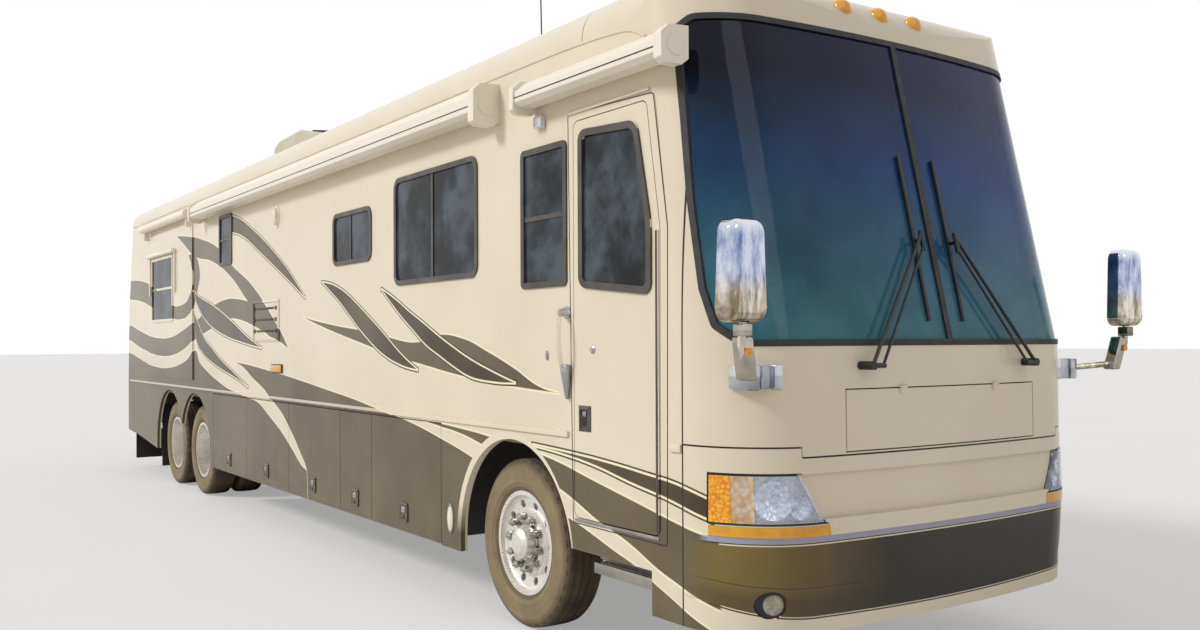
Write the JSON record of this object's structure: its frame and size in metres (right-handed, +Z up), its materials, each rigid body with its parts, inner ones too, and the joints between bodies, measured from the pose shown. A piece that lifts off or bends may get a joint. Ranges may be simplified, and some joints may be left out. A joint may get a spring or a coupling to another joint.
{
  "type": "motorhome",
  "caption": "Long flat-nosed touring motorhome with twin rear axles, bay doors, entry door, slide-out bedroom wall, awnings and swirled paint.",
  "frame": {"origin": "on the ground, midway along the coach and on its centreline", "axes": "+X the direction of travel, +Y the driver's side, +Z up"},
  "size_m": [12.768, 3.1144, 3.81],
  "materials": {
    "cream_paint": "gloss cream paint",
    "nose_paint": "gloss tan-cream paint",
    "bumper_paint": "gloss dark bronze paint",
    "skirt_paint": "gloss taupe paint",
    "screen_glass": "blue-tinted glass",
    "tinted_glass": "dark tinted glass",
    "black_rubber": "matt",
    "dark_aluminium": "dark anodised",
    "lamp_lens": "clear moulded lens",
    "red_lens": "red moulded lens",
    "awning_shell": "satin cream paint",
    "chassis_paint": "satin black paint",
    "floor_board": "matt",
    "bay_lining": "matt grey paint",
    "engine_iron": "matt",
    "step_aluminium": "ribbed",
    "dash_plastic": "grained",
    "seat_cover": "soft",
    "chrome_plate": "polished",
    "wiper_black": "satin black",
    "unit_plastic": "weathered",
    "tyre_rubber": "dusty",
    "polished_rim": "polished"
  },
  "bodies": {
    "coach": {"wall_right": "cream_paint", "wall_left": "cream_paint", "roof": "cream_paint", "front_cap": "nose_paint", "rear_cap": "cream_paint", "front_bumper": "bumper_paint", "skirts": "skirt_paint", "windshield_glass": "screen_glass", "side_glass": "tinted_glass", "windshield_seal": "black_rubber", "window_frames": "dark_aluminium", "headlamps": "lamp_lens", "tail_lamps": "red_lens", "awnings": "awning_shell", "chassis_frame": "chassis_paint", "hitch_receiver": "chassis_paint", "floor": "floor_board", "stairwell": "floor_board", "basement": "bay_lining", "engine_block": "engine_iron", "rock_guard": "black_rubber", "entry_step": "step_aluminium", "front_axle": "chassis_paint", "drive_axle": "chassis_paint", "tag_axle": "chassis_paint", "dash": "dash_plastic", "seats": "seat_cover", "mirrors": "chrome_plate", "wipers": "wiper_black", "roof_unit": "unit_plastic"},
    "bay_door_right_1_body": {"bay_door_right_1": "skirt_paint"},
    "bay_door_right_2_body": {"bay_door_right_2": "skirt_paint"},
    "bay_door_right_3_body": {"bay_door_right_3": "skirt_paint"},
    "bay_door_right_4_body": {"bay_door_right_4": "skirt_paint"},
    "bay_door_right_5_body": {"bay_door_right_5": "skirt_paint"},
    "bay_door_left_1_body": {"bay_door_left_1": "skirt_paint"},
    "bay_door_left_2_body": {"bay_door_left_2": "skirt_paint"},
    "bay_door_left_3_body": {"bay_door_left_3": "skirt_paint"},
    "bay_door_left_4_body": {"bay_door_left_4": "skirt_paint"},
    "entry_door_body": {"entry_door": "cream_paint", "door_glass": "tinted_glass"},
    "slide_room": {"slide_out": "cream_paint", "slide_glass": "tinted_glass", "slide_topper": "awning_shell"},
    "front_lid_body": {"front_lid": "nose_paint"},
    "engine_lid_body": {"engine_lid": "skirt_paint"},
    "steering_right": {"knuckle_right": "chassis_paint"},
    "wheel_front_right": {"tyre_front_right": "tyre_rubber", "rim_front_right": "polished_rim"},
    "wheel_drive_right": {"tyres_drive_right": "tyre_rubber", "rims_drive_right": "polished_rim"},
    "wheel_tag_right": {"tyre_tag_right": "tyre_rubber", "rim_tag_right": "polished_rim"},
    "steering_left": {"knuckle_left": "chassis_paint"},
    "wheel_front_left": {"tyre_front_left": "tyre_rubber", "rim_front_left": "polished_rim"},
    "wheel_drive_left": {"tyres_drive_left": "tyre_rubber", "rims_drive_left": "polished_rim"},
    "wheel_tag_left": {"tyre_tag_left": "tyre_rubber", "rim_tag_left": "polished_rim"}
  },
  "joints": [
    {"name": "bay_door_right_1_hinge", "type": "hinge", "parent": "coach", "child": "bay_door_right_1_body", "pos_m": [-1.415, -1.28, 1.138], "axis": [-1, 0, 0], "range_deg": [0, 90]},
    {"name": "bay_door_right_2_hinge", "type": "hinge", "parent": "coach", "child": "bay_door_right_2_body", "pos_m": [-0.2345, -1.28, 1.138], "axis": [-1, 0, 0], "range_deg": [0, 90]},
    {"name": "bay_door_right_3_hinge", "type": "hinge", "parent": "coach", "child": "bay_door_right_3_body", "pos_m": [0.979, -1.28, 1.138], "axis": [-1, 0, 0], "range_deg": [0, 90]},
    {"name": "bay_door_right_4_hinge", "type": "hinge", "parent": "coach", "child": "bay_door_right_4_body", "pos_m": [1.8875, -1.28, 1.138], "axis": [-1, 0, 0], "range_deg": [0, 90]},
    {"name": "bay_door_right_5_hinge", "type": "hinge", "parent": "coach", "child": "bay_door_right_5_body", "pos_m": [2.762, -1.28, 1.138], "axis": [-1, 0, 0], "range_deg": [0, 90]},
    {"name": "bay_door_left_1_hinge", "type": "hinge", "parent": "coach", "child": "bay_door_left_1_body", "pos_m": [-1.415, 1.28, 1.138], "axis": [1, 0, 0], "range_deg": [0, 90]},
    {"name": "bay_door_left_2_hinge", "type": "hinge", "parent": "coach", "child": "bay_door_left_2_body", "pos_m": [-0.2345, 1.28, 1.138], "axis": [1, 0, 0], "range_deg": [0, 90]},
    {"name": "bay_door_left_3_hinge", "type": "hinge", "parent": "coach", "child": "bay_door_left_3_body", "pos_m": [0.979, 1.28, 1.138], "axis": [1, 0, 0], "range_deg": [0, 90]},
    {"name": "bay_door_left_4_hinge", "type": "hinge", "parent": "coach", "child": "bay_door_left_4_body", "pos_m": [2.4555, 1.28, 1.138], "axis": [1, 0, 0], "range_deg": [0, 90]},
    {"name": "entry_door_hinge", "type": "hinge", "parent": "coach", "child": "entry_door_body", "pos_m": [5.627, -1.283, 1.7], "axis": [0, 0, 1], "range_deg": [0, 90]},
    {"name": "slide_room_travel", "type": "slide", "parent": "coach", "child": "slide_room", "axis": [0, -1, 0], "range_m": [0, 0.5]},
    {"name": "front_lid_hinge", "type": "hinge", "parent": "coach", "child": "front_lid_body", "pos_m": [6.299, 0, 1.446], "axis": [0, -1, 0], "range_deg": [0, 90]},
    {"name": "engine_lid_hinge", "type": "hinge", "parent": "coach", "child": "engine_lid_body", "pos_m": [-6.364, 0, 1.68], "axis": [0, 1, 0], "range_deg": [0, 80]},
    {"name": "steering_right_kingpin", "type": "hinge", "parent": "coach", "child": "steering_right", "pos_m": [4.2, -0.93, 0.495], "axis": [0, 0, 1], "range_deg": [-40, 40]},
    {"name": "wheel_front_right_spin", "type": "hinge", "parent": "steering_right", "child": "wheel_front_right", "pos_m": [4.2, -1.06, 0.492], "axis": [0, 1, 0], "continuous": true},
    {"name": "wheel_drive_right_spin", "type": "hinge", "parent": "coach", "child": "wheel_drive_right", "pos_m": [-2.74, -0.905, 0.492], "axis": [0, 1, 0], "continuous": true},
    {"name": "wheel_tag_right_spin", "type": "hinge", "parent": "coach", "child": "wheel_tag_right", "pos_m": [-3.88, -1.07, 0.492], "axis": [0, 1, 0], "continuous": true},
    {"name": "steering_left_kingpin", "type": "hinge", "parent": "coach", "child": "steering_left", "pos_m": [4.2, 0.93, 0.495], "axis": [0, 0, 1], "range_deg": [-40, 40]},
    {"name": "wheel_front_left_spin", "type": "hinge", "parent": "steering_left", "child": "wheel_front_left", "pos_m": [4.2, 1.06, 0.492], "axis": [0, 1, 0], "continuous": true},
    {"name": "wheel_drive_left_spin", "type": "hinge", "parent": "coach", "child": "wheel_drive_left", "pos_m": [-2.74, 0.905, 0.492], "axis": [0, 1, 0], "continuous": true},
    {"name": "wheel_tag_left_spin", "type": "hinge", "parent": "coach", "child": "wheel_tag_left", "pos_m": [-3.88, 1.07, 0.492], "axis": [0, 1, 0], "continuous": true}
  ],
  "couplings": [
    {"joint": "steering_left_kingpin", "follows": "steering_right_kingpin", "ratio": 1}
  ]
}
